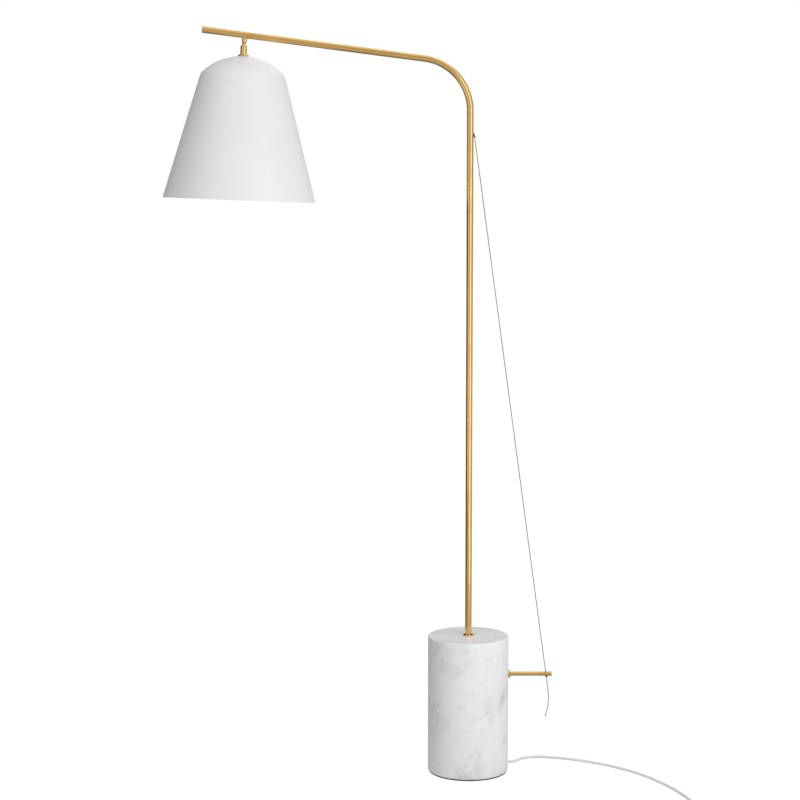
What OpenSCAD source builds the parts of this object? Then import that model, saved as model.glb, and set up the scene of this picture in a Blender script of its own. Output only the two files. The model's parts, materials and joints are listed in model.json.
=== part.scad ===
// Adjustable arm floor lamp: a bent brass tube leans on a pivot in a stone
// base, a steel stay wire with a cable gripper on a side peg holds its angle,
// and a ball knuckle aims the metal shade. Millimetres, +Z up, the origin on
// the floor at the axis of the base, the arm towards -X.

/* [Base] */
// Diameter of the stone base
base_d = 150; // [140:1:170]
// Height of the top of the stone above the floor
base_top = 257; // [245:1:280]
// Radius of the stone's top edge
base_edge = 2; // [1:0.5:4]
// Thickness of the rubber foot pad
pad_h = 2.5; // [2:0.5:4]

/* [Stem] */
// Outside diameter of the bent tube
tube_d = 12; // [12:1:13]
// Wall of the bent tube
tube_wall = 1; // [0.8:0.1:1]
// Height where the stem starts to bend into the arm
bend_start = 1226; // [1215:1:1300]
// Radius of the bend at the tube's axis
bend_r = 95; // [80:1:110]
// Angle that the bend turns through
bend_turn = 82.66; // [80:0.01:85]
// Length of the straight arm
arm_len = 405.2; // [380:0.1:450]
// Depth of the pivot that the stem leans on, below the top of the stone
pivot_depth = 9; // [8:1:10]

/* [Stay wire] */
// Diameter of the steel wire rope
wire_d = 1.8; // [1.4:0.1:1.8]
// Height of the pin that holds the wire's upper end
anchor_z = 1179; // [1160:1:1190]
// Distance from the stem's axis to that pin
anchor_x = 8.2; // [8:0.1:9]
// Straight length of wire below the peg
tail_straight = 30; // [26:1:40]
// Radius of the wire's curled tail
tail_r = 115; // [100:1:130]
// Angle of the wire's curled tail
tail_turn = 24; // [20:1:30]

/* [Peg] */
// Height of the peg's axis
peg_z = 184; // [180:1:190]
// Distance from the base's axis to where the wire crosses the peg
wire_x = 145.4; // [144:0.1:147]
// Distance from the base's axis to the peg's end
peg_end = 156.5; // [156:0.5:160]
// Diameter of the peg
peg_d = 8; // [7.5:0.5:8]

/* [Knuckle] */
// Distance along the arm from the bend to the knuckle
knuckle_at = 327.2; // [300:0.1:350]
// Distance from the arm's axis to the centre of the ball
ball_drop = 21; // [21:0.5:24]
// Radius of the ball
ball_r = 4.6; // [4.5:0.1:4.7]
// Outside diameter of the cup round the ball
cup_d = 11.4; // [11.4:0.1:12]

/* [Shade] */
// Lean of the shade's axis from upright
shade_tilt = 2.2; // [0:0.1:4]
// Distance from the ball's centre to the top of the shade
shade_drop = 17.1; // [17.1:0.1:20]
// Height of the shade
shade_h = 259; // [240:1:280]
// Radius of the shade's rim
rim_r = 138.8; // [130:0.1:150]
// Radius of the shade's domed top
dome_r = 103; // [100:1:106]
// Half angle of the shade's cone
cone_angle = 15.5; // [14:0.1:17]
// Radius that blends the dome into the cone
shoulder_r = 18; // [12:1:40]
// Thickness of the shade's metal
shade_wall = 1.2; // [1:0.1:1.5]

/* [Lampholder and bulb] */
// Outside diameter of the lampholder
holder_d = 40; // [38:1:44]
// Diameter of the bulb's glass
bulb_d = 60; // [55:1:65]
// Distance from the ball's centre to the bulb's end
bulb_end = 162; // [155:1:170]

/* [Mains cord] */
// Diameter of the mains cord
cord_d = 5; // [5:0.5:5]
// Direction in which the cord leaves the base, from +X
cord_heading = 24; // [20:1:28]
// Height of the cord where it leaves the base
cord_z = 4.6; // [4.6:0.1:5]

/* [Hidden] */
$fn = 96;
base_r = base_d / 2;
tube_r = tube_d / 2;
tube_in = tube_r - tube_wall;
arm_slope = 90 - bend_turn;
slip = 0.05;              // radial clearance of a running fit

// Stem foot and its socket
socket_r = 9.3;
socket_in = 8;
socket_bottom = base_top - 58;
pivot_z = base_top - pivot_depth;
foot_head_bottom = pivot_z - 12;
foot_head_top = pivot_z + 5;
trunnion_r = 2;
collar_r = 9.6;
collar_h = 2.4;

// Underside of the base
recess_r = 46;
recess_top = 26.5;
plate_r = 50;
plate_h = 2;
tie_r = 5;
tie_bottom = 17.5;
nut_top = recess_top - 2.5;

// Cord outlet, measured outwards from the base's axis
outlet_inner = 61;
outlet_end = 83.3;
stop_out = 54;
block_out = 33;
block_in = 11;
lead_z = 8.5;
inlet_rise = 0.3;

// Gripper in the peg's sleeve; its bore follows the wire's mean direction
wire_angle = atan((wire_x - anchor_x) / (anchor_z - peg_z));
wire_to_peg = norm([wire_x - anchor_x, anchor_z - peg_z]);
grip_angle = 9.8;
grip_offset = 0.4;
sleeve_start = 134.6;
sleeve_r = peg_d / 2 + 0.2;
plunger_r = 2.6;
plunger_in = 1.8;
plunger_out = 6;
flange_r = 3;

// Knuckle
neck_r = 2.9;
stud_r = 4.4;
stud_bore = 1.5;
cavity_r = ball_r + 0.15;
lip_angle = 70;
cup_r = cup_d / 2;
nipple_r = 4;
washer_h = 2.5;
washer_r = 9.5;
nut_seat = -shade_drop - shade_wall - 0.25;
nut_h = 3;
holder_top = 36;
holder_end = 80;
shell_r = 13.3;

// Route of the cord from the base to the foot switch
cord_route = [
    [76, 34, 4.6], [83, 37, 4.2], [90, 43, 3.5], [96, 51, 2.9], [102, 59, 2.6],
    [110, 66, 2.5], [120, 71, 2.5], [131, 74, 2.5], [142, 74, 2.5], [153, 72, 2.5],
    [165, 69, 2.5], [177, 66, 2.5], [189, 62, 2.5], [201, 57, 2.5], [213, 51, 2.5],
    [225, 45, 2.5], [237, 38, 2.5], [249, 30, 2.5], [260, 22, 2.5], [271, 13, 2.5],
    [282, 4, 2.5], [292, -6, 2.5], [302, -16, 2.5], [311, -27, 2.5], [320, -38, 2.5],
    [328, -50, 2.5], [336, -62, 2.5], [343, -75, 2.5], [350, -88, 2.5], [357, -101, 2.5],
    [363, -114, 2.5], [369, -128, 2.5], [374, -142, 2.5], [379, -156, 2.5],
    [384, -171, 2.5], [388, -187, 2.5], [392, -204, 2.5], [396, -221, 2.6],
    [399, -237, 3.4], [400, -250, 4.5]
];
// Route from the foot switch to the coil
switch_route = [
    [400, -358, 4.5], [399, -364, 4], [397, -370, 3.5], [393, -375, 3],
    [388, -379, 2.6], [382, -381, 2.5], [374, -382, 2.5], [362, -382, 2.6],
    [352, -382, 2.9], [342, -382, 3.3]
];
// Route from the coil to the plug
plug_route = [
    [318, -382, 8.2], [310, -382, 8], [302, -382, 7.6], [294, -382, 7.2], [286, -382, 6.9]
];
coil_centre = [330, -345.5];
coil_rows = 2;
coil_columns = 4;
coil_mean_r = 29;
coil_lift = 0.8;          // the tie's lower run lies under the coil
tie_strap = 0.7;
switch_centre = [400, -304];
switch_half = 24;         // from the switch's middle to the centre of each round end
switch_r = 14;
switch_split = 9;
switch_top = 21;
switch_cord_z = 4.5;
button_r = 9;
plug_face = [223, -382];
plug_t = 13.7;
pin_r = 2;
pin_len = 19;
pin_half = 9.3;

BRASS = [0.80, 0.62, 0.34];
STEEL = [0.62, 0.63, 0.65];
WHITE = [0.93, 0.93, 0.92];
GREY = [0.55, 0.55, 0.55];
BLACK = [0.12, 0.12, 0.12];
STONE = [0.88, 0.88, 0.88];

// Helpers

// Points of an arc about [x, y], from angle a to angle b
function arc(x, y, r, a, b, n) =
    [for (i = [0:n]) let (t = a + (b - a) * i / n) [x + r * cos(t), y + r * sin(t)]];

function unit(v) = v / norm(v);

// Direction of a route at point i
function heading(route, i) = unit(route[min(i + 1, len(route) - 1)] - route[max(i - 1, 0)]);

// Ring of a tube round point i of a route; the route never runs along the normal
function ring(route, i, r, sides, normal) =
    let (t = heading(route, i), across = unit(cross(t, normal)), up = cross(across, t))
    [for (k = [0:sides - 1]) route[i] + r * (cos(360 * k / sides) * across + sin(360 * k / sides) * up)];

// A tube swept along a route
module swept_tube(route, r, sides = 10, normal = [0, 0, 1]) {
    last = len(route) - 1;
    polyhedron(
        points = [for (i = [0:last]) each ring(route, i, r, sides, normal)],
        faces = concat(
            [[for (k = [0:sides - 1]) k]],
            [[for (k = [sides - 1:-1:0]) last * sides + k]],
            [for (i = [0:last - 1], k = [0:sides - 1]) let (n = (k + 1) % sides)
                [i * sides + n, i * sides + k, (i + 1) * sides + k, (i + 1) * sides + n]]
        )
    );
}

module ring_between(r_out, r_in, z0, z1) {
    difference() {
        translate([0, 0, z0]) cylinder(r = r_out, h = z1 - z0);
        translate([0, 0, z0 - 1]) cylinder(r = r_in, h = z1 - z0 + 2);
    }
}

module disc(r, z0, z1) {
    translate([0, 0, z0]) cylinder(r = r, h = z1 - z0);
}

module along_x(r, x0, x1) {
    translate([x0, 0, 0]) rotate([0, 90, 0]) cylinder(r = r, h = x1 - x0);
}

module along_y(r, y0, y1) {
    translate([0, y0, 0]) rotate([-90, 0, 0]) cylinder(r = r, h = y1 - y0);
}

// The end of the bend: local +Z runs along the arm, and local +X points up from it
module at_bend_end() {
    translate([-bend_r, 0, bend_start]) rotate([0, -bend_turn, 0]) translate([bend_r, 0, 0]) children();
}

// The arm's frame: local -X runs along the arm, local -Z away from it
module on_arm(along) {
    at_bend_end() translate([0, 0, along]) rotate([0, 90, 0]) children();
}

// The stem's path as a solid bar of radius r, from height z0 to a point on the arm;
// the bend is cut in the plane where the arm starts, so that they meet in one circle
module stem_bar(r, z0, along) {
    disc(r, z0, bend_start);
    difference() {
        translate([-bend_r, 0, bend_start]) rotate([90, 0, 0])
            rotate_extrude(angle = 90) translate([bend_r, 0]) circle(r = r);
        at_bend_end() translate([-tube_d, -tube_d, 0]) cube(2 * tube_d);
    }
    at_bend_end() cylinder(r = r, h = along);
}

// The ball's centre, where the knuckle turns
module at_ball() {
    on_arm(knuckle_at) translate([0, 0, -ball_drop]) rotate([0, -arm_slope, 0]) children();
}

// The shade's frame: the ball's centre, with the shade below it along local -Z
module in_shade() {
    at_ball() rotate([0, shade_tilt, 0]) children();
}

module on_outlet() {
    rotate([0, 0, cord_heading]) children();
}

module at_peg() {
    translate([0, 0, peg_z]) children();
}

// The gripper's frame: local Z runs up the bore
module in_gripper() {
    translate([wire_x + grip_offset, 0, peg_z]) rotate([0, -grip_angle, 0]) children();
}

// The wire's frame: its upper end at the anchor, running down local -Z
module in_wire() {
    translate([anchor_x, 0, anchor_z]) rotate([0, -wire_angle, 0]) children();
}

// Base

module marble_base() color(STONE) difference() {
    rotate_extrude() polygon(concat(
        [[0, pad_h], [base_r - 0.8, pad_h], [base_r, pad_h + 0.8]],
        arc(base_r - base_edge, base_top - base_edge, base_edge, 0, 90, 6),
        [[0, base_top]]
    ));
    disc(tie_r + 0.5, 0, base_top);
    disc(socket_r, socket_bottom, base_top + 1);
    disc(recess_r, 0, recess_top);
    disc(plate_r + 0.3, 0, pad_h + plate_h);
    at_peg() along_x(5, 46, base_r + 1);
    on_outlet() {
        translate([0, 0, cord_z]) along_x(3.6, outlet_inner - 3, base_r + 5);
        translate([outlet_inner - 3, -3.6, 0]) cube([base_r, 7.2, cord_z]);
        translate([0, 0, cord_z + 2.4]) along_x(6, recess_r - 4, outlet_inner + 1);
        translate([recess_r - 4, -6, 0]) cube([outlet_inner + 5 - recess_r, 12, cord_z + 2.4]);
    }
}

module foot_pad() color(BLACK) difference() {
    disc(base_r - 1.5, 0, pad_h);
    on_outlet() translate([outlet_inner - 2, -3.7, -1]) cube([base_r, 7.4, pad_h + 2]);
}

module bottom_plate() color(STEEL) difference() {
    disc(plate_r, pad_h, pad_h + plate_h);
    on_outlet() translate([recess_r - 6, -4.5, 0]) cube([plate_r, 9, 10]);
}

module tie_tube() color(STEEL) ring_between(tie_r, 3.6, tie_bottom, socket_bottom + 12);

module tie_washer() color(STEEL) ring_between(22, tie_r + 0.3, nut_top, recess_top);

module tie_nut() color(STEEL) difference() {
    translate([0, 0, nut_top - 6]) cylinder(r = 9.8, h = 6, $fn = 6);
    disc(tie_r, nut_top - 7, nut_top + 1);
}

module stem_socket() color(STEEL) difference() {
    disc(socket_r, socket_bottom, base_top - 4);
    disc(socket_in, socket_bottom + 12, base_top);
    disc(tie_r, socket_bottom - 1, socket_bottom + 13);
    translate([0, 0, pivot_z]) along_y(trunnion_r, -socket_r - 1, socket_r + 1);
}

module stem_collar() color(BRASS) rotate_extrude() polygon(concat(
    [[socket_in, base_top - 4], [socket_r, base_top - 4], [socket_r, base_top], [collar_r, base_top]],
    arc(collar_r - 0.8, base_top + collar_h - 0.8, 0.8, 0, 90, 4),
    arc(socket_in + 0.6, base_top + collar_h - 0.6, 0.6, 90, 180, 4)
));

module pivot_pins() color(STEEL) translate([0, 0, pivot_z]) {
    along_y(trunnion_r, 3.3, socket_r - 0.35);
    along_y(trunnion_r, -socket_r + 0.35, -3.3);
}

// Peg and gripper

module peg_anchor() color(BRASS) at_peg() difference() {
    along_x(5, 46, base_r - 0.6);
    along_x(3, 50, base_r + 1);
}

module peg_flange() color(BRASS) difference() {
    at_peg() difference() {
        along_x(7.5, base_r - 1, base_r + 3.5);
        along_x(3.1, base_r - 2, base_r + 2);
        along_x(peg_d / 2, base_r + 2, base_r + 5);
    }
    disc(base_r, peg_z - 10, peg_z + 10);
}

module peg_rod() color(BRASS) at_peg() {
    along_x(3, 52, base_r + 2);
    along_x(peg_d / 2, base_r + 2, sleeve_start);
    along_x(2, sleeve_start - 1, sleeve_start + 4.8);
}

module peg_sleeve() color(BRASS) difference() {
    at_peg() rotate([0, 90, 0]) rotate_extrude() polygon(concat(
        [[0, sleeve_start], [sleeve_r - 0.3, sleeve_start], [sleeve_r, sleeve_start + 0.3]],
        arc(sleeve_r - 0.8, peg_end - 0.8, 0.8, 0, 90, 4),
        [[0, peg_end]]
    ));
    at_peg() along_x(2, sleeve_start - 1, sleeve_start + 5);
    in_gripper() {
        disc(flange_r + 0.1, -2.2, 8);
        disc(plunger_r + slip, -8, 0);
    }
}

module gripper_cap() color(STEEL) in_gripper() ring_between(flange_r + 0.1, 2, 1.7, 3.3);

module gripper_spring() color(STEEL) in_gripper() ring_between(2.9, 2.2, -1.3, 1.7);

module gripper_plunger() color(BLACK) in_gripper() difference() {
    union() {
        disc(plunger_r, -plunger_out, -1.5);
        disc(flange_r, -2.15, -1.3);
    }
    disc(plunger_in, -plunger_out - 1, 0);
}

// Cord outlet and wiring inside the base

module cord_grommet() color(GREY) on_outlet() translate([0, 0, cord_z]) rotate([0, 90, 0])
    rotate_extrude() polygon([
        [0, outlet_inner], [3.5, outlet_inner], [3.5, base_r + 0.5],
        [2.8, outlet_end], [0, outlet_end]
    ]);

// The inside cord rises from the outlet to the terminal block
module on_inlet() {
    on_outlet() translate([outlet_inner, 0, cord_z]) rotate([0, atan(inlet_rise), 0]) children();
}

inlet_len = (outlet_inner - block_out) * sqrt(1 + inlet_rise * inlet_rise);
stop_at = (outlet_inner - stop_out) * sqrt(1 + inlet_rise * inlet_rise);

module cord_stop() color(BLACK) on_inlet() difference() {
    along_x(4.2, -stop_at - 4, -stop_at);
    along_x(cord_d / 2, -stop_at - 5, 0);
}

module inlet_cord() color(WHITE) difference() {
    on_inlet() along_x(cord_d / 2, -inlet_len - 2, 2);
    on_outlet() translate([block_out - 6, -5, 0]) cube([6, 10, 20]);
    on_outlet() translate([outlet_inner, -5, 0]) cube([6, 10, 20]);
}

module terminal_block() color(WHITE) on_outlet() difference() {
    translate([block_in, -9, 5.5]) cube([block_out - block_in, 18, 12]);
    for (y = [-4.5, 4.5]) translate([(block_in + block_out) / 2 + y, y, 12]) cylinder(r = 2, h = 8);
}

// The lead turns up into the tie tube
lead_turn = 8;
module base_lead() color(GREY) on_outlet() swept_tube(concat(
    [[block_in, 0, lead_z]],
    [for (p = arc(lead_turn, lead_z + lead_turn, lead_turn, 270, 180, 8)) [p[0], 0, p[1]]],
    [[0, 0, foot_head_bottom - 5]]
), 2, 12, [0, 1, 0]);

// Stem

module stem_foot() color(STEEL) difference() {
    union() {
        disc(tube_r, foot_head_bottom, foot_head_top);
        disc(tube_in, foot_head_top - 1, foot_head_top + 16);
    }
    disc(3, foot_head_bottom - 1, foot_head_top + 17);
    translate([0, 0, pivot_z]) along_y(trunnion_r + slip, -tube_d, tube_d);
}

module stem_tube() color(BRASS) difference() {
    stem_bar(tube_r, foot_head_top, arm_len - 1.2);
    stem_bar(tube_in, foot_head_top - 1, arm_len);
    on_arm(knuckle_at) disc(3.2, -tube_d, 0);
    translate([0, 0, anchor_z + 5]) along_x(1.5, 0, tube_d);
}

module arm_end_cap() color(BRASS) on_arm(arm_len) {
    rotate([0, 90, 0]) rotate_extrude() polygon([
        [0, 0], [tube_r - 0.5, 0], [tube_r, 0.5], [tube_r, 1.2], [tube_in, 1.2], [tube_in, 9], [0, 9]
    ]);
}

module arm_insert() color(STEEL) on_arm(knuckle_at) difference() {
    along_x(tube_in - 0.05, -12, 12);
    disc(3.05, -tube_d, 1);
    disc(3.8, 0, 2.6);
    translate([0, 0, 0.8]) along_x(2, 0, 13);
}

module stud_saddle() color(BRASS) on_arm(knuckle_at) difference() {
    disc(stud_r, -tube_r - 0.8, -tube_r + 2);
    disc(3.2, -tube_d, 0);
    along_x(tube_r, -tube_d, tube_d);
}

module stem_lead() color(GREY) {
    stem_bar(1.6, foot_head_bottom + 3, knuckle_at - 12.5);
    on_arm(knuckle_at) translate([0, 0, 0.8]) along_x(1.6, 4.6, 13);
}

// Stay wire

module wire_anchor() color(GREY) {
    anchor_top = anchor_z + 5;
    difference() {
        union() {
            translate([0, 0, anchor_top]) {
                along_x(1.5, 3, tube_r + 1);
                along_x(2.8, tube_r - 1, tube_r + 0.9);
            }
            for (y = [-0.75, 1.55]) translate([0, y, 0]) rotate([90, 0, 0]) linear_extrude(0.8) {
                translate([anchor_x, anchor_z]) circle(r = 1.7);
                polygon([
                    [tube_r - 0.5, anchor_top + 1.6], [tube_r + 1.6, anchor_top + 1.6],
                    [anchor_x + 1.7, anchor_z], [anchor_x - 1.7, anchor_z], [tube_r - 0.5, anchor_top - 2]
                ]);
            }
        }
        translate([anchor_x, 0, anchor_z]) {
            along_y(0.7, -3, 3);
            along_y(1.9, -0.75, 0.75);
        }
        disc(tube_r, anchor_z - 5, anchor_top - 1.5);
        difference() {
            disc(tube_r, anchor_top - 2, anchor_top + 5);
            translate([0, 0, anchor_top]) along_x(1.5, 0, tube_d);
        }
    }
}

module anchor_pin() color(STEEL) translate([anchor_x, 0, anchor_z]) along_y(0.7, -1.8, 1.8);

module wire_terminal() color(STEEL) in_wire() difference() {
    union() {
        along_y(1.5, -0.55, 0.55);
        disc(0.55, -3.5, -1);
        disc(1.4, -10, -2.9);
    }
    along_y(0.75, -2, 2);
    disc(wire_d / 2, -12, -4);
}

// Centre of the tail's curl, in the wire's frame
tail_top = wire_to_peg + tail_straight;

module stay_wire() color(STEEL) in_wire() swept_tube(concat(
    [[0, 0, -4]],
    [for (p = arc(-tail_r, -tail_top, tail_r, 0, -tail_turn, 8)) [p[0], 0, p[1]]]
), wire_d / 2, 12, [0, 1, 0]);

module wire_end_sleeve() color(STEEL) in_wire() translate([-tail_r, 0, -tail_top])
    rotate([0, tail_turn, 0]) translate([tail_r, 0, 0]) disc(1.4, -4, 0);

// Knuckle

module ball_stud() color(BRASS) on_arm(knuckle_at) difference() {
    translate([0, 0, -ball_drop]) union() {
        rotate_extrude() polygon([
            [0, 0], [neck_r, 0], [neck_r, 4.6], [stud_r, 8.2],
            [stud_r, ball_drop - tube_r - 1.4], [stud_r - 0.4, ball_drop - tube_r - 1],
            [3, ball_drop - tube_r - 1], [3, ball_drop + 2.2], [0, ball_drop + 2.2]
        ]);
        sphere(r = ball_r);
    }
    disc(stud_bore, -ball_drop - ball_r - 1, 4);
}

module swivel_nut() color(STEEL) on_arm(knuckle_at) ring_between(3.7, 3, 0.15, 2.2);

module stud_lead() color(GREY) on_arm(knuckle_at) disc(1.2, -ball_drop - 3, 1.6);

module ball_cup() color(BRASS) in_shade() difference() {
    lip_r = cavity_r * sin(lip_angle);
    lip_z = cavity_r * cos(lip_angle);
    rotate_extrude() polygon([
        [0, -shade_drop + washer_h], [cup_r - 0.5, -shade_drop + washer_h],
        [cup_r, -shade_drop + washer_h + 0.5], [cup_r, 0.4],
        [lip_r + 0.35, lip_z + 0.35], [0, lip_z + 0.35]
    ]);
    sphere(r = cavity_r);
    disc(lip_r, lip_z, cavity_r);
    disc(2.6, -shade_drop, -2);
    disc(nipple_r, -shade_drop, -9);
}

module hanger_nipple() color(STEEL) in_shade() ring_between(nipple_r, 2.5, -shade_drop - 14, -9);

module shade_flange() color(BRASS) in_shade() difference() {
    rotate_extrude() polygon(concat(
        [[0, -shade_drop], [washer_r, -shade_drop]],
        arc(washer_r - 1, -shade_drop + washer_h - 1, 1, 0, 90, 4),
        [[0, -shade_drop + washer_h]]
    ));
    disc(nipple_r, -shade_drop - 1, -shade_drop + washer_h + 1);
}

// Shade

// Centre of the shoulder's arc, which touches the dome and the cone from inside
cone_top = rim_r - shade_h * tan(cone_angle);
shoulder_off = (cone_top - shoulder_r / cos(cone_angle) + dome_r * tan(cone_angle)) * cos(cone_angle);
shoulder_y = shoulder_off * sin(cone_angle) - dome_r
    + sqrt(pow(dome_r - shoulder_r, 2) - shoulder_off * shoulder_off) * cos(cone_angle);
shoulder_x = cone_top - shoulder_r / cos(cone_angle) - shoulder_y * tan(cone_angle);
shoulder_turn = atan2(shoulder_y + dome_r, shoulder_x);

// Half of the shade's section at a depth inside its outer skin, from the top to the rim
function skin(depth) = concat(
    arc(0, -dome_r, dome_r - depth, 90 - asin(nipple_r / (dome_r - depth)), shoulder_turn, 20),
    arc(shoulder_x, shoulder_y, shoulder_r - depth, shoulder_turn, cone_angle, 8),
    [[rim_r - depth / cos(cone_angle), -shade_h]]
);
function reversed(list) = [for (i = [len(list) - 1:-1:0]) list[i]];

module shade() color(WHITE) in_shade() translate([0, 0, -shade_drop])
    rotate_extrude() polygon(concat(skin(0), reversed(skin(shade_wall))));

// The nut bears on the shade's domed inside, so its corners are bevelled by a cone
module hanger_nut() color(STEEL) in_shade() difference() {
    intersection() {
        translate([0, 0, nut_seat - nut_h]) cylinder(r = 8, h = nut_h, $fn = 6);
        translate([0, 0, nut_seat - nut_h]) cylinder(r1 = 7 + 2 * nut_h, r2 = 7, h = nut_h);
    }
    disc(nipple_r, nut_seat - nut_h - 1, 0);
}

module shade_lead() color(GREY) in_shade() disc(1.3, -holder_top - 10, -9);

module holder_cap() color(WHITE) in_shade() difference() {
    rotate_extrude() polygon(concat(
        [[0, -holder_top - 2], [holder_d / 2, -holder_top - 2]],
        arc(holder_d / 2 - 8, -holder_top + 6, 8, 0, 90, 8),
        [[0, -holder_top + 14]]
    ));
    disc(nipple_r, -holder_top, 0);
    rotate_extrude() polygon(concat(
        [[0, -holder_top - 3], [holder_d / 2 - 2, -holder_top - 3]],
        arc(holder_d / 2 - 8, -holder_top + 4, 6, 0, 90, 8),
        [[0, -holder_top + 10]]
    ));
}

module holder_body() color(WHITE) in_shade() difference() {
    disc(holder_d / 2, -holder_end, -holder_top - 2);
    disc(shell_r + 0.7, -holder_end - 1, -holder_top - 16);
    disc(holder_d / 2 - 3, -holder_top - 13, 0);
    disc(2, -holder_end, 0);
}

module holder_shell() color(BRASS) in_shade()
    ring_between(shell_r + 0.7, shell_r, -holder_end + 2, -holder_top - 16);

// The centre contact presses on the bulb's cap; its tail takes the lead
module holder_contact() color(BRASS) in_shade() {
    disc(4, -holder_top - 17, -holder_top - 16);
    disc(1.9, -holder_top - 16.5, -holder_top - 10);
}

module bulb_cap() color(STEEL) in_shade() rotate_extrude() polygon([
    [0, -holder_top - 17], [5, -holder_top - 17], [5, -holder_top - 18.5], [11, -holder_top - 20],
    [13, -holder_top - 22], [13, -holder_end], [0, -holder_end]
]);

// Half of the bulb's section: a neck that flares into a globe
module bulb_half(in) {
    globe_r = bulb_d / 2 - in;
    globe_y = -bulb_end + bulb_d / 2;
    neck_x = 13 - in;
    flare = 40;
    flare_r = (globe_r * cos(flare) - neck_x) / (1 - cos(flare));
    rotate_extrude() polygon(concat(
        [[0, -holder_end - in], [neck_x, -holder_end - in]],
        arc(neck_x + flare_r, globe_y + (globe_r + flare_r) * sin(flare), flare_r, 180, 180 + flare, 8),
        arc(0, globe_y, globe_r, flare, -90, 24)
    ));
}

module bulb_glass() color([0.97, 0.97, 0.94]) in_shade() difference() {
    bulb_half(0);
    bulb_half(1.2);
}

// Mains cord, foot switch, coil and plug

module cord() color(WHITE) swept_tube(cord_route, cord_d / 2);

module switch_cord() color(WHITE) swept_tube(switch_route, cord_d / 2);

module plug_cord() color(WHITE) swept_tube(plug_route, cord_d / 2);

// A loaf with round ends along Y, standing from z0 to z1, with a rounded upper edge
module loaf(r, z0, z1, edge) {
    profile = concat([[0, z0], [r, z0]], arc(r - edge, z1 - edge, edge, 0, 90, 6), [[0, z1]]);
    for (side = [-1, 1]) translate([0, side * switch_half, 0]) rotate_extrude() polygon(profile);
    translate([0, switch_half, 0]) rotate([90, 0, 0]) linear_extrude(2 * switch_half) {
        polygon(profile);
        mirror([1, 0]) polygon(profile);
    }
}

module at_switch() {
    translate([switch_centre[0], switch_centre[1], 0]) children();
}

module switch_base() color(WHITE) at_switch() difference() {
    union() {
        loaf(switch_r, 0, switch_split, 0.01);
        for (side = [0, 180]) rotate([0, 0, side]) translate([0, switch_half + switch_r - 1, switch_cord_z])
            rotate([-90, 0, 0]) cylinder(r1 = 4.2, r2 = 3, h = 17);
    }
    loaf(switch_r - 2, 2, switch_split + 1, 0.01);
    for (y = [-30, 30]) translate([0, y, -1]) cylinder(r = 1.6, h = 4);
}

module switch_cover() color(WHITE) at_switch() difference() {
    loaf(switch_r, switch_split, switch_top, 4);
    loaf(switch_r - 2, switch_split - 1, switch_top - 2, 3);
    disc(button_r + 0.3, 0, switch_top + 1);
}

module switch_button() color(GREY) at_switch() {
    rotate_extrude() polygon(concat(
        [[0, 17], [button_r + 1.2, 17], [button_r + 1.2, 18.6], [button_r, 18.6]],
        arc(button_r - 1.5, 22.5, 1.5, 0, 90, 6),
        [[0, 24.4]]
    ));
}

module switch_spring() color(STEEL) at_switch() ring_between(6.5, 5.5, 8, 17);

module switch_contacts() color(BLACK) at_switch() {
    translate([-8, -14, 2]) cube([16, 28, 6]);
}

module switch_screws() color(STEEL) at_switch() for (y = [-30, 30]) translate([0, y, 0]) {
    disc(1.6, 0.2, 8);
}

module cord_coil() color(WHITE) translate([coil_centre[0], coil_centre[1], coil_lift]) rotate_extrude()
    translate([coil_mean_r - coil_columns * cord_d / 2, 0]) difference() {
        square([coil_columns * cord_d, coil_rows * cord_d]);
        for (x = [0, 1], y = [0, 1]) translate([x * coil_columns * cord_d, y * coil_rows * cord_d])
            rotate(45) square(1.5, center = true);
    }

module coil_tie() color(BLACK) translate([coil_centre[0] - 4, coil_centre[1] + coil_mean_r, 0]) difference() {
    translate([0, -coil_columns * cord_d / 2 - tie_strap, 0])
        cube([8, coil_columns * cord_d + 2 * tie_strap, coil_rows * cord_d + coil_lift + tie_strap]);
    translate([-1, -coil_columns * cord_d / 2, coil_lift - 0.1])
        cube([10, coil_columns * cord_d, coil_rows * cord_d + 0.1]);
}

// The plug lies flat; its pins point to -X
module plug_body() color(WHITE) translate([plug_face[0], plug_face[1], 0]) {
    linear_extrude(plug_t) polygon([
        [0, -13], [3, -15], [14, -16], [30, -9], [36, -6],
        [36, 6], [30, 9], [14, 16], [3, 15], [0, 13]
    ]);
    translate([35, 0, plug_t / 2]) rotate([0, 90, 0]) cylinder(r1 = 4.6, r2 = 3, h = 28);
}

module plug_pins() color(STEEL) translate([plug_face[0], plug_face[1], plug_t / 2]) {
    for (y = [-pin_half, pin_half]) translate([0, y, 0]) {
        along_x(pin_r, -pin_len + 1, 0);
        translate([-pin_len + 1, 0, 0]) rotate([0, -90, 0])
            cylinder(r1 = pin_r, r2 = pin_r - 0.8, h = 1);
    }
}

marble_base();
foot_pad();
bottom_plate();
tie_tube();
tie_washer();
tie_nut();
stem_socket();
stem_collar();
pivot_pins();
peg_anchor();
peg_flange();
peg_rod();
peg_sleeve();
gripper_cap();
gripper_spring();
gripper_plunger();
cord_grommet();
cord_stop();
inlet_cord();
terminal_block();
base_lead();
stem_foot();
stem_tube();
arm_end_cap();
arm_insert();
stud_saddle();
stem_lead();
wire_anchor();
anchor_pin();
wire_terminal();
stay_wire();
wire_end_sleeve();
ball_stud();
swivel_nut();
stud_lead();
ball_cup();
hanger_nipple();
shade_flange();
shade();
hanger_nut();
shade_lead();
holder_cap();
holder_body();
holder_shell();
holder_contact();
bulb_cap();
bulb_glass();
cord();
switch_base();
switch_cover();
switch_spring();
switch_button();
switch_contacts();
switch_screws();
switch_cord();
cord_coil();
coil_tie();
plug_cord();
plug_body();
plug_pins();
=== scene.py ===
"""Looks of an adjustable arm floor lamp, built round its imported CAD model.

Lengths are metres in the model's frame: +Z up, the origin on the floor at the
axis of the stone base, the arm towards -X.
"""

import json
import math

import bpy
from mathutils import Matrix, Vector

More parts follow.
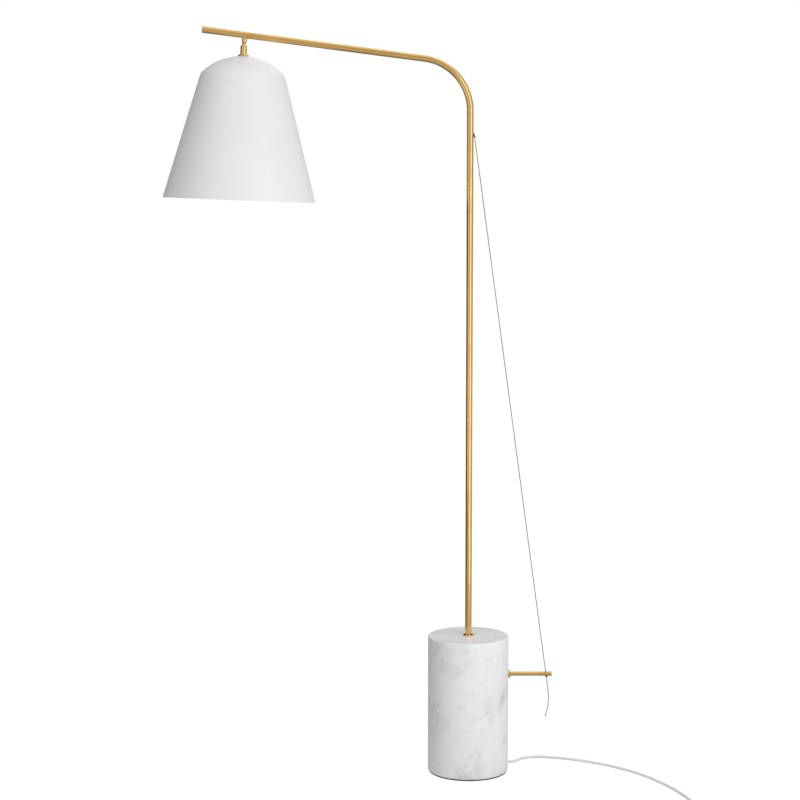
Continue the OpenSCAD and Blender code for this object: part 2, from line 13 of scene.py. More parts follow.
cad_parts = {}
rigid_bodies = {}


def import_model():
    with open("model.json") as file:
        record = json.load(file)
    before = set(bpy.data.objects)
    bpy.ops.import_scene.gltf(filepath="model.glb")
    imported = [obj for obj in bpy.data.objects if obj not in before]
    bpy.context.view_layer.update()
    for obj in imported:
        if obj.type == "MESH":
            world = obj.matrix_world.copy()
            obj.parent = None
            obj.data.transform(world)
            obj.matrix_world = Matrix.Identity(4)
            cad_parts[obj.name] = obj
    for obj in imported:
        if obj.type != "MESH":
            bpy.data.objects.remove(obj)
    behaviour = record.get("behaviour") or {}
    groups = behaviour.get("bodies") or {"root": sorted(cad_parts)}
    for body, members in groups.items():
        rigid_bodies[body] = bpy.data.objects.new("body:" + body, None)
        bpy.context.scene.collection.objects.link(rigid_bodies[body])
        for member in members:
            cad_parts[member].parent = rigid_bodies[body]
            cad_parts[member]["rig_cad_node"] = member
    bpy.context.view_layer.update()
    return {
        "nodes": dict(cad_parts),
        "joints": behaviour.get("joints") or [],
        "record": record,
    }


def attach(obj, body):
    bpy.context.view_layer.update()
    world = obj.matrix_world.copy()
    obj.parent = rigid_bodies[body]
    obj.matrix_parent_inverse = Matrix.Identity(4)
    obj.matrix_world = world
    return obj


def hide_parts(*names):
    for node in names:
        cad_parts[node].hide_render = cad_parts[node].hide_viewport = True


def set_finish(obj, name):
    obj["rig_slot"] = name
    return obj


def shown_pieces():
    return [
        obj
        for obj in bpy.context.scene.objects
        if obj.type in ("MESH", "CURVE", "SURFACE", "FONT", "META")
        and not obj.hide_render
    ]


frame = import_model()
NODES = frame["nodes"]
JOINTS = {j["name"]: j for j in frame["joints"]}
MM = 0.001

# How finely the round pieces are divided
CORD_SIDES = 20
PLUG_SIDES = 48
TUBE_SIDES, STEM_STEPS, BEND_STEPS, ARM_STEPS = 48, 24, 48, 10
SHADE_SEGMENTS, DOME_STEPS, SHOULDER_STEPS, CONE_STEPS = 192, 40, 16, 12
STRAND_SIDES = 5

# Sizes that the CAD model has, repeated here
TUBE_R = 6 * MM
TUBE_WALL = 1 * MM
TUBE_FOOT_Z = 253 * MM
BEND_START_Z = 1226 * MM
BEND_R = 95 * MM
BEND_TURN = math.radians(82.66)
ARM_LEN = 404 * MM
SHADE_DROP = 17.1 * MM
SHADE_H = 259 * MM
SHADE_RIM_R = 138.8 * MM
SHADE_DOME_R = 103 * MM
SHADE_CONE = math.radians(15.5)
SHADE_SHOULDER_R = 18 * MM
SHADE_WALL = 1.2 * MM
SHADE_TILT = math.radians(2.2)
NIPPLE_R = 4 * MM
WIRE_D = 1.8 * MM
WIRE_STRANDS = 6
WIRE_PITCH = 11 * MM
WIRE_STEP = 1 * MM
WIRE_TOP = 4 * MM
PEG_Z = 184 * MM
WIRE_X = 145.4 * MM
TAIL_STRAIGHT = 30 * MM
TAIL_R = 115 * MM
TAIL_TURN = math.radians(24)
CORD_D = 5 * MM

# Camera: level with the lamp's upper half, looking slightly down
CAMERA_AT = (-0.1275, -3.483, 1.065)
CAMERA_PITCH = math.radians(6)
LENS_MM = 85.5
SENSOR_MM = 36

# Route of the cord from the base to the foot switch, in millimetres
CORD_ROUTE = [
    (76, 34, 4.6), (83, 37, 4.2), (90, 43, 3.5), (96, 51, 2.9), (102, 59, 2.6),
    (110, 66, 2.5), (120, 71, 2.5), (131, 74, 2.5), (142, 74, 2.5), (153, 72, 2.5),
    (165, 69, 2.5), (177, 66, 2.5), (189, 62, 2.5), (201, 57, 2.5), (213, 51, 2.5),
    (225, 45, 2.5), (237, 38, 2.5), (249, 30, 2.5), (260, 22, 2.5), (271, 13, 2.5),
    (282, 4, 2.5), (292, -6, 2.5), (302, -16, 2.5), (311, -27, 2.5), (320, -38, 2.5),
    (328, -50, 2.5), (336, -62, 2.5), (343, -75, 2.5), (350, -88, 2.5), (357, -101, 2.5),
    (363, -114, 2.5), (369, -128, 2.5), (374, -142, 2.5), (379, -156, 2.5),
    (384, -171, 2.5), (388, -187, 2.5), (392, -204, 2.5), (396, -221, 2.6),
    (399, -237, 3.4), (400, -250, 4.5),
]
# Route from the foot switch to the coil
SWITCH_ROUTE = [
    (400, -358, 4.5), (399, -364, 4), (397, -370, 3.5), (393, -375, 3),
    (388, -379, 2.6), (382, -381, 2.5), (374, -382, 2.5), (362, -382, 2.6),
    (352, -382, 2.9), (342, -382, 3.3),
]
# Route from the coil to the plug
PLUG_ROUTE = [
    (318, -382, 8.2), (310, -382, 8), (302, -382, 7.6), (294, -382, 7.2), (286, -382, 6.9),
]
COIL_CENTRE = Vector((330, -345.5, 0)) * MM
COIL_OUTER_R = 36.5 * MM
COIL_Z = 3.3 * MM
COIL_ROW_TURNS = 3
COIL_STEPS = 40
PLUG_FACE = Vector((223, -382, 6.85)) * MM
# The plug's sections in millimetres from its face: distance, half width, half height,
# squareness
PLUG_SECTIONS = [
    (0, 12.0, 5.9, 4), (0.4, 12.7, 6.5, 4), (1.2, 13.5, 6.8, 4), (3, 14.7, 6.85, 4),
    (8, 15.5, 6.85, 4), (14, 15.6, 6.85, 4), (19, 13.9, 6.85, 4), (24, 11.7, 6.85, 4),
    (29, 9.4, 6.7, 3.6), (33, 7.5, 6.3, 3), (35.5, 6.3, 5.7, 2.6), (37, 4.7, 4.7, 2),
]
RELIEF_START, RELIEF_END, RELIEF_RIBS = 37, 63, 6
RELIEF_R, RELIEF_END_R, RELIEF_GROOVE, RELIEF_EDGE = 4.6, 3.1, 0.7, 0.3
# Places along one rib of the sleeve, as parts of its length, and whether in the groove
RELIEF_RIB = ((0.08, 0), (0.55, 0), (0.62, 1), (0.93, 1))
TIE_W = 8 * MM
TIE_STRAP = 0.7 * MM
# The strap's section: reach from the coil's axis, heights, radii of its corners
TIE_INNER, TIE_OUTER = 17.6 * MM, 39.4 * MM
TIE_LOW, TIE_HIGH = 0.4 * MM, 11.2 * MM
TIE_CORNER, TIE_FOOT = 2.6 * MM, 1.2 * MM
TIE_LAP_IN = 2 * MM


# Meshes

def new_object(name, verts, faces, body, slot, sharp_deg=35.0):
    """A smooth-shaded piece with edges kept sharp past an angle, riding on a body."""
    mesh = bpy.data.meshes.new(name)
    mesh.from_pydata(verts, [], faces)
    mesh.validate()
    mesh.shade_smooth()
    mesh.set_sharp_from_angle(angle=math.radians(sharp_deg))
    obj = bpy.data.objects.new(name, mesh)
    bpy.context.scene.collection.objects.link(obj)
    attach(obj, body)
    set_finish(obj, slot)
    return obj


def direction(path, i):
    return (path[min(i + 1, len(path) - 1)] - path[max(i - 1, 0)]).normalized()


def loft(rings):
    """Rings of points joined one after another, with both ends closed."""
    sides, last = len(rings[0]), len(rings) - 1
    faces = [list(range(sides)), [last * sides + k for k in reversed(range(sides))]]
    for i in range(last):
        for k in range(sides):
            n = (k + 1) % sides
            faces.append([i * sides + n, i * sides + k, (i + 1) * sides + k, (i + 1) * sides + n])
    return [p for ring in rings for p in ring], faces


def sweep(path, radius, sides, normal):
    """A round bar along a path that never runs along normal."""
    rings = []
    for i, p in enumerate(path):
        t = direction(path, i)
        across = t.cross(normal).normalized()
        up = across.cross(t)
        turns = [2 * math.pi * k / sides for k in range(sides)]
        rings.append([p + radius * (math.cos(a) * across + math.sin(a) * up) for a in turns])
    return loft(rings)


def joined(parts):
    """Several (verts, faces) as one."""
    verts, faces = [], []
    for v, f in parts:
        base = len(verts)
        verts += v
        faces += [[i + base for i in face] for face in f]
    return verts, faces


def revolve(profile, segments, place):
    """A closed (radius, height) outline that stays off the axis, turned about it."""
    count = len(profile)
    verts = [
        place @ Vector((r * math.cos(a), r * math.sin(a), z))
        for a in (2 * math.pi * s / segments for s in range(segments))
        for r, z in profile
    ]
    faces = []
    for s in range(segments):
        t = (s + 1) % segments
        for k in range(count):
            n = (k + 1) % count
            faces.append([s * count + k, t * count + k, t * count + n, s * count + n])
    return verts, faces


def arc(x, y, r, a, b, n):
    """Points of an arc about (x, y), from angle a to angle b."""
    return [
        (x + r * math.cos(a + (b - a) * i / n), y + r * math.sin(a + (b - a) * i / n))
        for i in range(n + 1)
    ]


def smoothed(points, steps=4):
    """A Catmull-Rom curve through points."""
    out = []
    ends = [points[0] * 2 - points[1], *points, points[-1] * 2 - points[-2]]
    for a, b, c, d in zip(ends, ends[1:], ends[2:], ends[3:]):
        for s in range(steps):
            t = s / steps
            out.append(0.5 * (
                2 * b + (c - a) * t + (2 * a - 5 * b + 4 * c - d) * t**2
                + (3 * b - a - 3 * c + d) * t**3
            ))
    return [*out, points[-1]]


def route(points):
    return [Vector(p) * MM for p in points]


# Camera

def make_camera():
    data = bpy.data.cameras.new("camera")
    data.lens = LENS_MM
    data.sensor_width = SENSOR_MM
    camera = bpy.data.objects.new("camera", data)
    camera.location = CAMERA_AT
    camera.rotation_euler = (math.pi / 2 - CAMERA_PITCH, 0, 0)
    bpy.context.scene.collection.objects.link(camera)
    bpy.context.scene.camera = camera


# Cords

def coil_path():
    """Seven turns in two rows: inwards along the lower row, up, and outwards on top of it."""
    offset = []  # (radius, height) at each step, so that a turn can lie against the one before
    for step in range((2 * COIL_ROW_TURNS + 1) * COIL_STEPS + 1):
        turn = step / COIL_STEPS
        if turn <= COIL_ROW_TURNS:
            offset.append((COIL_OUTER_R - CORD_D * turn, 0.0))
            continue
        before_r, before_z = offset[step - COIL_STEPS]
        if turn <= COIL_ROW_TURNS + 1:
            climb = (turn - COIL_ROW_TURNS) * math.pi / 2
            offset.append((before_r - CORD_D * math.cos(climb), CORD_D * math.sin(climb)))
        else:
            rise = CORD_D - before_z
            offset.append((before_r + math.sqrt(CORD_D**2 - rise**2), CORD_D))
    points = []
    for step, (r, z) in enumerate(offset):
        a = -math.pi / 2 - 2 * math.pi * step / COIL_STEPS
        points.append(COIL_CENTRE + Vector((r * math.cos(a), r * math.sin(a), COIL_Z + z)))
    return points


def cord_piece(name, path):
    bar = sweep(path, CORD_D / 2, CORD_SIDES, Vector((0, 0, 1)))
    return new_object(name, *bar, "root", "white_cord")


def plug_ring(distance, half_w, half_h, squareness):
    """A section of the plug, between an ellipse (2) and a rounded rectangle (4)."""
    ring = []
    for k in range(PLUG_SIDES):
        a = 2 * math.pi * k / PLUG_SIDES
        c, d = math.cos(a), math.sin(a)
        across = math.copysign(abs(c) ** (2 / squareness), c) * half_w
        up = math.copysign(abs(d) ** (2 / squareness), d) * half_h
        ring.append(PLUG_FACE + Vector((distance, -across, up)) * MM)
    return ring


def make_plug():
    """The plug's body, which runs into the ribbed sleeve that guards its cord."""
    rings = [plug_ring(*section) for section in PLUG_SECTIONS]
    rib = (RELIEF_END - RELIEF_START) / RELIEF_RIBS
    for i in range(RELIEF_RIBS):
        for part, groove in RELIEF_RIB:
            at = RELIEF_START + (i + part) * rib
            taper = (i + part) / RELIEF_RIBS
            depth = RELIEF_GROOVE * groove * (1 - taper / 2)
            r = RELIEF_R + (RELIEF_END_R - RELIEF_R) * taper - depth
            rings.append(plug_ring(at, r, r, 2))
    end_r = RELIEF_END_R - RELIEF_EDGE
    rings.append(plug_ring(RELIEF_END, end_r, end_r, 2))
    plug = new_object("plug_moulding", *loft(rings), "root", "white_plastic", sharp_deg=40)
    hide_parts("plug_body")
    return plug


def band(points, closed):
    """A flat strip of the strap along points (distance from the coil's axis, height)."""
    verts, count = [], len(points)
    for i, (r, z) in enumerate(points):
        before = points[(i - 1) % count if closed else max(i - 1, 0)]
        after = points[(i + 1) % count if closed else min(i + 1, count - 1)]
        run = Vector((after[0] - before[0], after[1] - before[1])).normalized()
        out = Vector((run.y, -run.x)) * TIE_STRAP / 2
        for side, face in ((-1, -1), (-1, 1), (1, 1), (1, -1)):
            at = (side * TIE_W / 2, r + face * out.x, z + face * out.y)
            verts.append(COIL_CENTRE + Vector(at))
    faces = []
    for i in range(count if closed else count - 1):
        a, b = i * 4, (i + 1) % count * 4
        for k in range(4):
            n = (k + 1) % 4
            faces.append([a + k, a + n, b + n, b + k])
    if not closed:
        e = (count - 1) * 4
        faces += [[3, 2, 1, 0], [e, e + 1, e + 2, e + 3]]
    return verts, faces


def make_tie():
    """A strap round the coil, with its end lapped over the top."""
    inner, outer = TIE_INNER, TIE_OUTER
    low, high, corner, foot = TIE_LOW, TIE_HIGH, TIE_CORNER, TIE_FOOT
    loop = [
        *arc(outer - foot, low + foot, foot, -math.pi / 2, 0, 4),
        *arc(outer - corner, high - corner, corner, 0, math.pi / 2, 8),
        *arc(inner + corner, high - corner, corner, math.pi / 2, math.pi, 8),
        *arc(inner + foot, low + foot, foot, math.pi, 1.5 * math.pi, 4),
    ]
    lap_start = inner + corner + TIE_LAP_IN
    lap_run = outer - inner - 2 * corner
    lap = [(lap_start + lap_run * i / 8, high + TIE_STRAP) for i in range(8)]
    strap = joined([band(loop, True), band(lap[::-1], False)])
    tie = new_object("coil_strap", *strap, "root", "black_tie", sharp_deg=40)
    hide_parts("coil_tie")
    return tie


def make_cords():
    """The cord from the base to its foot switch, and on through a coil to its plug."""
    first = smoothed(route(CORD_ROUTE))
    mains = cord_piece("mains_cord", first)
    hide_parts("cord")

    second = [*smoothed(route(SWITCH_ROUTE)), *coil_path(), *smoothed(route(PLUG_ROUTE))]
    flex = cord_piece("plug_flex", second)
    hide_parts("switch_cord", "cord_coil", "plug_cord")
    plug = [make_plug(), NODES["plug_pins"], make_tie()]


# Stem, shade and stay wire

def arm_heading():
    """Unit vector along the arm, square to the swivel's axis."""
    up = Vector(JOINTS["shade_swivel"]["axis"]).normalized()
    return Vector((-up.z, 0, up.x))


def tube_path():
    bend = [
        Vector((-BEND_R + BEND_R * math.cos(a), 0, BEND_START_Z + BEND_R * math.sin(a)))
        for a in (BEND_TURN * i / BEND_STEPS for i in range(BEND_STEPS + 1))
    ]
    along = arm_heading()
    rise = BEND_START_Z - TUBE_FOOT_Z
    stem = [Vector((0, 0, TUBE_FOOT_Z + rise * i / STEM_STEPS)) for i in range(STEM_STEPS)]
    arm = [bend[-1] + along * ARM_LEN * i / ARM_STEPS for i in range(1, ARM_STEPS + 1)]
    return [*stem, *bend, *arm]


def make_tube():
    """The bent tube, open inside, with its two ends as flat rings."""
    sides = TUBE_SIDES
    path = tube_path()
    outer, _ = sweep(path, TUBE_R, sides, Vector((0, 1, 0)))
    inner, _ = sweep(path, TUBE_R - TUBE_WALL, sides, Vector((0, 1, 0)))
    verts = outer + inner
    shift, last = len(outer), len(path) - 1
    far_end = last * sides
    faces = []
    for k in range(sides):
        n = (k + 1) % sides
        for i in range(last):
            a, b, c, d = i * sides + k, i * sides + n, (i + 1) * sides + n, (i + 1) * sides + k
            faces.append([b, a, d, c])
            faces.append([a + shift, b + shift, c + shift, d + shift])
        faces.append([k, n, n + shift, k + shift])
        a, b = far_end + k, far_end + n
        faces.append([b, a, a + shift, b + shift])
    tube = new_object("bent_tube", verts, faces, "stem", "satin_brass", sharp_deg=50)
    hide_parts("stem_tube")


def shade_frame():
    """Where the shade's top stands at rest, below the ball and tilted with it."""
    ball = Vector(JOINTS["shade_tilt"]["pos_m"])
    return (
        Matrix.Translation(ball) @ Matrix.Rotation(SHADE_TILT, 4, "Y")
        @ Matrix.Translation((0, 0, -SHADE_DROP))
    )


def shade_skin(depth):
    """Half of the shade's section at a depth inside its outer skin, from the top to the rim."""
    cone_top = SHADE_RIM_R - SHADE_H * math.tan(SHADE_CONE)
    off = (
        cone_top - SHADE_SHOULDER_R / math.cos(SHADE_CONE) + SHADE_DOME_R * math.tan(SHADE_CONE)
    ) * math.cos(SHADE_CONE)
    reach = SHADE_DOME_R - SHADE_SHOULDER_R
    y = (
        off * math.sin(SHADE_CONE) - SHADE_DOME_R
        + math.sqrt(reach**2 - off**2) * math.cos(SHADE_CONE)
    )
    x = cone_top - SHADE_SHOULDER_R / math.cos(SHADE_CONE) - y * math.tan(SHADE_CONE)
    turn = math.atan2(y + SHADE_DOME_R, x)
    dome_r = SHADE_DOME_R - depth
    start = math.pi / 2 - math.asin(NIPPLE_R / dome_r)
    dome = arc(0, -SHADE_DOME_R, dome_r, start, turn, DOME_STEPS)
    shoulder_r = SHADE_SHOULDER_R - depth
    shoulder = arc(x, y, shoulder_r, turn, SHADE_CONE, SHOULDER_STEPS)[1:]
    edge_x, edge_y = shoulder[-1]
    rim_x = SHADE_RIM_R - depth / math.cos(SHADE_CONE)
    cone = [
        (edge_x + (rim_x - edge_x) * i / CONE_STEPS, edge_y + (-SHADE_H - edge_y) * i / CONE_STEPS)
        for i in range(1, CONE_STEPS + 1)
    ]
    return dome + shoulder + cone


def make_shade():
    outer, inner = shade_skin(0), shade_skin(SHADE_WALL)
    profile = outer + inner[::-1]
    skin = revolve(profile, SHADE_SEGMENTS, shade_frame())
    shade = new_object("bell_shade", *skin, "shade_head", "white_powder_coat")
    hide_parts("shade")


def wire_path(step):
    """Centreline of the stay wire, from its terminal to the end of its curled tail."""
    top = Vector(JOINTS["stay_swing"]["pos_m"])
    run = Vector((WIRE_X, 0, PEG_Z)) - top
    down = run.normalized()
    left = Vector((down.z, 0, -down.x))
    straight = run.length + TAIL_STRAIGHT
    count = int((straight - WIRE_TOP) / step)
    points = [top + down * (WIRE_TOP + (straight - WIRE_TOP) * i / count) for i in range(count)]
    curl = int(TAIL_R * TAIL_TURN / step)
    for i in range(curl + 1):
        a = TAIL_TURN * i / curl
        points.append(top + down * (straight + TAIL_R * math.sin(a))
                      + left * TAIL_R * (1 - math.cos(a)))
    return points


def make_rope():
    """A rope of six strands laid round a core."""
    strand_r = WIRE_D / 6
    lay_r = WIRE_D / 2 - strand_r
    core = wire_path(WIRE_STEP)
    side = Vector((0, 1, 0))
    parts = [sweep(core, strand_r, STRAND_SIDES, side)]
    travelled = [0.0]
    for a, b in zip(core, core[1:]):
        travelled.append(travelled[-1] + (b - a).length)
    for strand in range(WIRE_STRANDS):
        line = []
        for i, p in enumerate(core):
            turn = 2 * math.pi * (travelled[i] / WIRE_PITCH + strand / WIRE_STRANDS)
            out = direction(core, i).cross(side)
            line.append(p + lay_r * (math.cos(turn) * out + math.sin(turn) * side))
        parts.append(sweep(line, strand_r, STRAND_SIDES, side))
    rope = new_object("stay_rope", *joined(parts), "stay", "wire_rope", sharp_deg=80)
    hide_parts("stay_wire")


# Materials

class Paint:
    """A material made of nodes, with a piece's own coordinates in metres as its place."""

    def __init__(self, name, color, roughness, **sockets):
        self.material = bpy.data.materials.new(name)
        self.material.use_nodes = True
        self.tree = self.material.node_tree
        self.shader = self.tree.nodes["Principled BSDF"]
        self.put("Base Color", (*color, 1))
        self.put("Roughness", roughness)
        for key, value in sockets.items():
            self.put(key.replace("_", " "), value)
        self.place = self.add("ShaderNodeTexCoord").outputs["Object"]

    def put(self, socket, value):
        self.link(value, self.shader.inputs[socket])

    def link(self, value, socket):
        if isinstance(value, bpy.types.NodeSocket):
            self.tree.links.new(value, socket)
        else:
            socket.default_value = value

    def add(self, kind, inputs=None, **options):
        node = self.tree.nodes.new(kind)
        for key, value in options.items():
            setattr(node, key, value)
        for key, value in (inputs or {}).items():
            self.link(value, node.inputs[key])
        return node

    def stretched(self, scale, at=None):
        inputs = {"Vector": at or self.place, "Scale": scale}
        return self.add("ShaderNodeMapping", inputs).outputs[0]

    def noise(self, scale, detail=2.0, rough=0.5, at=None, distort=0.0):
        inputs = {"Vector": at or self.place, "Scale": scale, "Detail": detail,
                  "Roughness": rough, "Distortion": distort}
        return self.add("ShaderNodeTexNoise", inputs).outputs["Fac"]

    def ramp(self, value, low, high, to_low=0.0, to_high=1.0):
        inputs = {"Value": value, "From Min": low, "From Max": high,
                  "To Min": to_low, "To Max": to_high}
        return self.add("ShaderNodeMapRange", inputs, interpolation_type="SMOOTHSTEP").outputs[0]

    def math(self, operation, a, b):
        return self.add("ShaderNodeMath", {0: a, 1: b}, operation=operation).outputs[0]

    def mix(self, factor, a, b):
        inputs = {"Factor": factor, 6: (*a, 1) if isinstance(a, tuple) else a,
                  7: (*b, 1) if isinstance(b, tuple) else b}
        return self.add("ShaderNodeMix", inputs, data_type="RGBA").outputs[2]

    def bump(self, height, distance, strength=1.0):
        inputs = {"Height": height, "Distance": distance, "Strength": strength}
        self.put("Normal", self.add("ShaderNodeBump", inputs).outputs[0])


def satin_brass():
    """Lacquered brass, brushed along its length, with a slight change of tone."""
    p = Paint("satin_brass", (0.66, 0.385, 0.085), 0.14, Metallic=1.0, Coat_Weight=1.0,
              Coat_Roughness=0.12, Coat_IOR=1.6)
    fine = p.noise(1.0, 3.0, 0.6, p.stretched((2600, 2600, 180)))
    broad = p.noise(22.0, 3.0)
    tone = p.ramp(broad, 0.35, 0.65)
    p.put("Base Color", p.mix(tone, (0.64, 0.37, 0.08), (0.70, 0.42, 0.105)))
    p.put("Roughness", p.ramp(fine, 0.25, 0.75, 0.11, 0.17))
    p.bump(fine, 1.5e-6)
    return p.material


def marble():
    """White stone with soft grey clouds, streaks and small specks."""
    p = Paint("marble", (0.88, 0.88, 0.88), 0.42)
    warp = p.add("ShaderNodeTexNoise", {"Vector": p.place, "Scale": 11.0, "Detail": 3.0})
    shifted = p.add("ShaderNodeMix", {"Factor": 0.06, 4: p.place, 5: warp.outputs["Color"]},
                    data_type="VECTOR").outputs[1]
    # clouds lie in patches, and each patch holds short streaks
    patches = p.ramp(p.noise(7.0, 3.0, 0.5, shifted), 0.42, 0.66)
    streaks = p.ramp(p.noise(1.0, 5.0, 0.62, p.stretched((34, 34, 17), shifted)), 0.46, 0.70)
    clouds = p.ramp(p.noise(15.0, 5.0, 0.60, shifted), 0.48, 0.74)
    fine = p.ramp(p.noise(75.0, 5.0, 0.70, shifted), 0.35, 0.75)
    cells = p.add("ShaderNodeTexVoronoi", {"Vector": shifted, "Scale": 85.0})
    dot = p.ramp(cells.outputs["Distance"], 0.06, 0.26, 1.0, 0.0)
    chosen = p.ramp(p.add("ShaderNodeSeparateColor", {0: cells.outputs["Color"]}).outputs[0],
                    0.80, 0.84)
    specks = p.math("MULTIPLY", dot, chosen)
    veil = p.math("MULTIPLY", streaks, patches)
    stone = p.mix(p.math("MULTIPLY", clouds, 0.50), (0.89, 0.89, 0.89), (0.50, 0.51, 0.54))
    stone = p.mix(p.math("MULTIPLY", veil, 0.60), stone, (0.42, 0.43, 0.46))
    stone = p.mix(p.math("MULTIPLY", fine, 0.10), stone, (0.55, 0.55, 0.57))
    p.put("Base Color", p.mix(p.math("MULTIPLY", specks, 0.42), stone, (0.36, 0.37, 0.39)))
    p.put("Roughness", p.ramp(fine, 0.0, 1.0, 0.38, 0.50))
    p.bump(p.noise(900.0, 3.0), 6e-6)
    return p.material


def powder_coat():
    """Matt white paint with a fine grain."""
    p = Paint("white_powder_coat", (0.81, 0.81, 0.815), 0.55)
    grain = p.noise(1500.0, 2.0, 0.5)
    broad = p.ramp(p.noise(9.0, 2.0), 0.3, 0.7)
    p.put("Base Color", p.mix(broad, (0.815, 0.815, 0.82), (0.80, 0.80, 0.805)))
    p.put("Roughness", p.ramp(p.noise(30.0, 3.0), 0.3, 0.7, 0.50, 0.58))
    p.bump(grain, 1.2e-5)
    return p.material


def steel(name, color, roughness, stretch):
    """Bare metal, with fine marks that stretch scales along each axis."""
    p = Paint(name, color, roughness, Metallic=1.0)
    lines = p.noise(1.0, 3.0, 0.6, p.stretched(stretch))
    p.put("Roughness", p.ramp(lines, 0.25, 0.75, roughness * 0.85, roughness * 1.2))
    dark = tuple(c * 0.82 for c in color)
    p.put("Base Color", p.mix(p.ramp(p.noise(90.0, 3.0), 0.35, 0.7), color, dark))
    p.bump(lines, 5e-6)
    return p.material


def moulded(name, color, roughness, grain=1800.0, depth=8e-6, **sockets):
    """Plastic or rubber with the fine texture of its mould."""
    p = Paint(name, color, roughness, **sockets)
    soft = p.ramp(p.noise(45.0, 3.0), 0.3, 0.7)
    p.put("Base Color", p.mix(soft, color, tuple(c * 0.95 for c in color)))
    p.put("Roughness", p.ramp(p.noise(120.0, 2.0), 0.3, 0.7, roughness * 0.92, roughness * 1.08))
    p.bump(p.noise(grain, 2.0), depth)
    return p.material


def woven(name, color):
    """Cloth tape with slanting rows."""
    p = Paint(name, color, 0.85, Sheen_Weight=0.25)
    rows = p.add("ShaderNodeTexWave", {"Vector": p.place, "Scale": 420.0, "Distortion": 0.6},
                 bands_direction="DIAGONAL").outputs["Fac"]
    p.put("Base Color", p.mix(rows, color, tuple(min(1.0, c * 2.2) for c in color)))
    p.bump(rows, 6e-5)
    return p.material


def opal_glass():
    """Milky white glass, as of a frosted bulb."""
    p = Paint("opal_glass", (0.90, 0.90, 0.87), 0.14, Subsurface_Weight=0.35,
              Subsurface_Scale=0.004, Coat_Weight=0.3, Coat_Roughness=0.05)
    tone = p.ramp(p.noise(25.0), 0.3, 0.7)
    p.put("Base Color", p.mix(tone, (0.91, 0.91, 0.88), (0.87, 0.87, 0.84)))
    return p.material


def materials():
    return {
        "marble": marble(),
        "satin_brass": satin_brass(),
        "white_powder_coat": powder_coat(),
        "steel": steel("steel", (0.60, 0.60, 0.61), 0.32, (900, 900, 900)),
        "dark_steel": steel("dark_steel", (0.16, 0.15, 0.14), 0.38, (900, 900, 900)),
        "wire_rope": steel("wire_rope", (0.38, 0.38, 0.38), 0.36, (1500, 1500, 300)),
        "pad": moulded("pad", (0.035, 0.035, 0.035), 0.75, 1200.0, 3e-5),
        "grommet": moulded("grommet", (0.50, 0.50, 0.50), 0.6),
        "white_cord": moulded("white_cord", (0.80, 0.80, 0.79), 0.42, 1400.0, 5e-6),
        "lead": moulded("lead", (0.62, 0.62, 0.61), 0.45),
        "white_plastic": moulded("white_plastic", (0.82, 0.82, 0.80), 0.30, 2200.0, 4e-6),
        "grey_button": moulded("grey_button", (0.42, 0.42, 0.42), 0.45),
        "black_plastic": moulded("black_plastic", (0.03, 0.03, 0.03), 0.40),
        "black_tie": woven("black_tie", (0.02, 0.02, 0.02)),
        "opal_glass": opal_glass(),
    }


def paint_all():
    made = materials()
    slots = {s["node"]: s["material_slot"] for s in frame["record"]["subparts"]}
    for node, obj in NODES.items():
        obj.data.materials.clear()
        obj.data.materials.append(made[slots[node]])
    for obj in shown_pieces():
        if "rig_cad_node" not in obj:
            obj.data.materials.append(made[obj["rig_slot"]])


# Floor and light

FLOOR_HALF = 30.0
FLOOR_SEEN = 0.94
WORLD_SEEN = 1.0
# The floor's glow grows towards one direction, from one distance to another in metres
FLOOR_TOWARD = (0.60, -0.80, 0)
FLOOR_RAMP = (-1.6, 1.6, 0.06, 0.70)
# Glows of the sky: direction, facing from and to, strength from and to.
# It is bright in front of the lamp and to its right, dim behind it, and bright overhead.
SKY_GLOWS = [
    ((0.25, -0.93, 0.25), -0.25, 0.45, 0.04, 0.61),
    ((0.0, 0.0, 1.0), 0.55, 0.95, 0.0, 0.58),
    ((0.97, 0.10, 0.20), 0.2, 0.9, 0.0, 0.30),
]
# Soft boxes: name, place, aim, size, radiance
SOFT_BOXES = [
    ("key", (0.90, -1.44, 1.05), (-0.1, 0.0, 0.95), (0.38, 2.1), 3.8),
    ("back", (0.20, 1.70, 2.70), (-0.2, 0.0, 0.9), (1.6, 1.0), 2.4),
    ("fill", (-1.55, -1.30, 1.15), (-0.2, 0.0, 0.95), (0.5, 1.9), 1.3),
]


def seen_or_lit(tree, seen, lit):
    """One number where the camera sees a thing, and another, or a socket, in the light it gives."""
    ray = tree.nodes.new("ShaderNodeLightPath").outputs["Is Camera Ray"]
    mix = tree.nodes.new("ShaderNodeMix")
    tree.links.new(ray, mix.inputs["Factor"])
    mix.inputs[3].default_value = seen
    if isinstance(lit, bpy.types.NodeSocket):
        tree.links.new(lit, mix.inputs[2])
    else:
        mix.inputs[2].default_value = lit
    return mix.outputs[0]


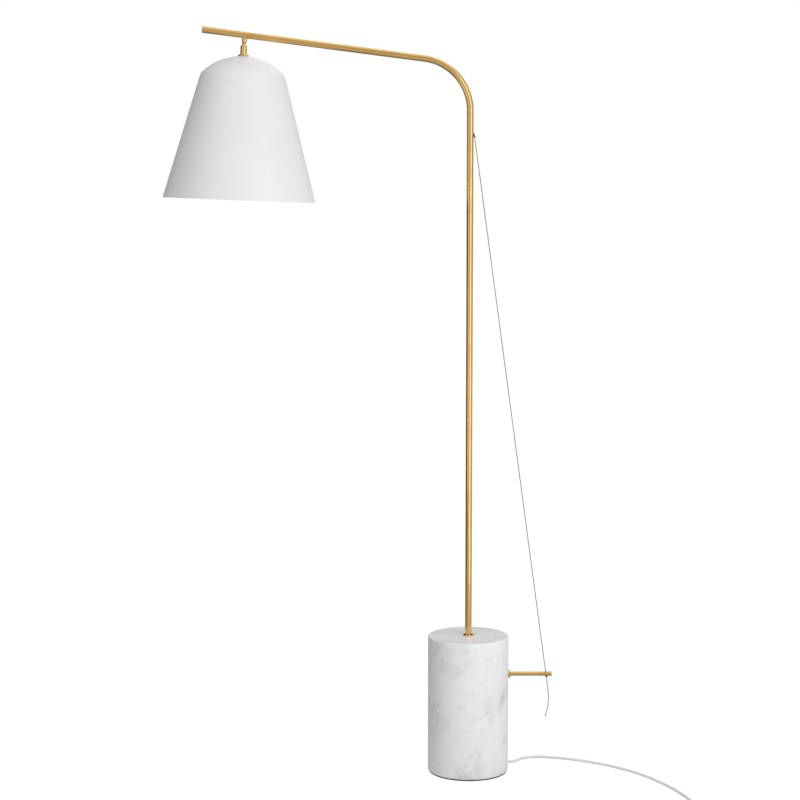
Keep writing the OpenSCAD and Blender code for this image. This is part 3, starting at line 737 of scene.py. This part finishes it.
def make_floor():
    half = FLOOR_HALF
    mesh = bpy.data.meshes.new("floor")
    corners = [(-half, -half, 0), (half, -half, 0), (half, half, 0), (-half, half, 0)]
    mesh.from_pydata(corners, [], [(0, 1, 2, 3)])
    floor = bpy.data.objects.new("floor", mesh)
    bpy.context.scene.collection.objects.link(floor)
    paint = Paint("pale_floor", (0.10, 0.10, 0.10), 0.9, Emission_Color=(1, 1, 1, 1))
    forward = paint.add("ShaderNodeVectorMath", {0: paint.place, 1: FLOOR_TOWARD},
                        operation="DOT_PRODUCT").outputs["Value"]
    lit = paint.ramp(forward, *FLOOR_RAMP)
    paint.put("Emission Strength", seen_or_lit(paint.tree, FLOOR_SEEN, lit))
    mesh.materials.append(paint.material)


def area_light(name, at, aim, size, radiance):
    """A soft box that points at aim and gives light without being seen."""
    data = bpy.data.lights.new(name, "AREA")
    data.shape = "RECTANGLE"
    data.size, data.size_y = size
    data.energy = math.pi * size[0] * size[1] * radiance
    light = bpy.data.objects.new(name, data)
    light.location = at
    light.rotation_euler = (Vector(aim) - Vector(at)).to_track_quat("-Z", "Y").to_euler()
    light.visible_camera = False
    bpy.context.scene.collection.objects.link(light)


def sky_glow(tree, place, toward, low, high, to_low, to_high):
    """A glow of the sky that grows towards one direction."""
    facing = tree.nodes.new("ShaderNodeVectorMath")
    facing.operation = "DOT_PRODUCT"
    tree.links.new(place, facing.inputs[0])
    facing.inputs[1].default_value = Vector(toward).normalized()
    glow = tree.nodes.new("ShaderNodeMapRange")
    tree.links.new(facing.outputs["Value"], glow.inputs["Value"])
    limits = {"From Min": low, "From Max": high, "To Min": to_low, "To Max": to_high}
    for key, value in limits.items():
        glow.inputs[key].default_value = value
    return glow.outputs[0]


def make_light():
    world = bpy.data.worlds.new("studio")
    bpy.context.scene.world = world
    world.use_nodes = True
    tree = world.node_tree
    background = tree.nodes["Background"]
    place = tree.nodes.new("ShaderNodeTexCoord").outputs["Generated"]
    total, *others = [sky_glow(tree, place, *glow) for glow in SKY_GLOWS]
    for glow in others:
        added = tree.nodes.new("ShaderNodeMath")
        tree.links.new(total, added.inputs[0])
        tree.links.new(glow, added.inputs[1])
        total = added.outputs[0]
    tree.links.new(seen_or_lit(tree, WORLD_SEEN, total), background.inputs["Strength"])
    background.inputs["Color"].default_value = (1, 1, 1, 1)
    for box in SOFT_BOXES:
        area_light(*box)


make_camera()
make_cords()
make_tube()
make_shade()
make_rope()
paint_all()
make_floor()
make_light()
bpy.context.scene.view_settings.view_transform = "Standard"
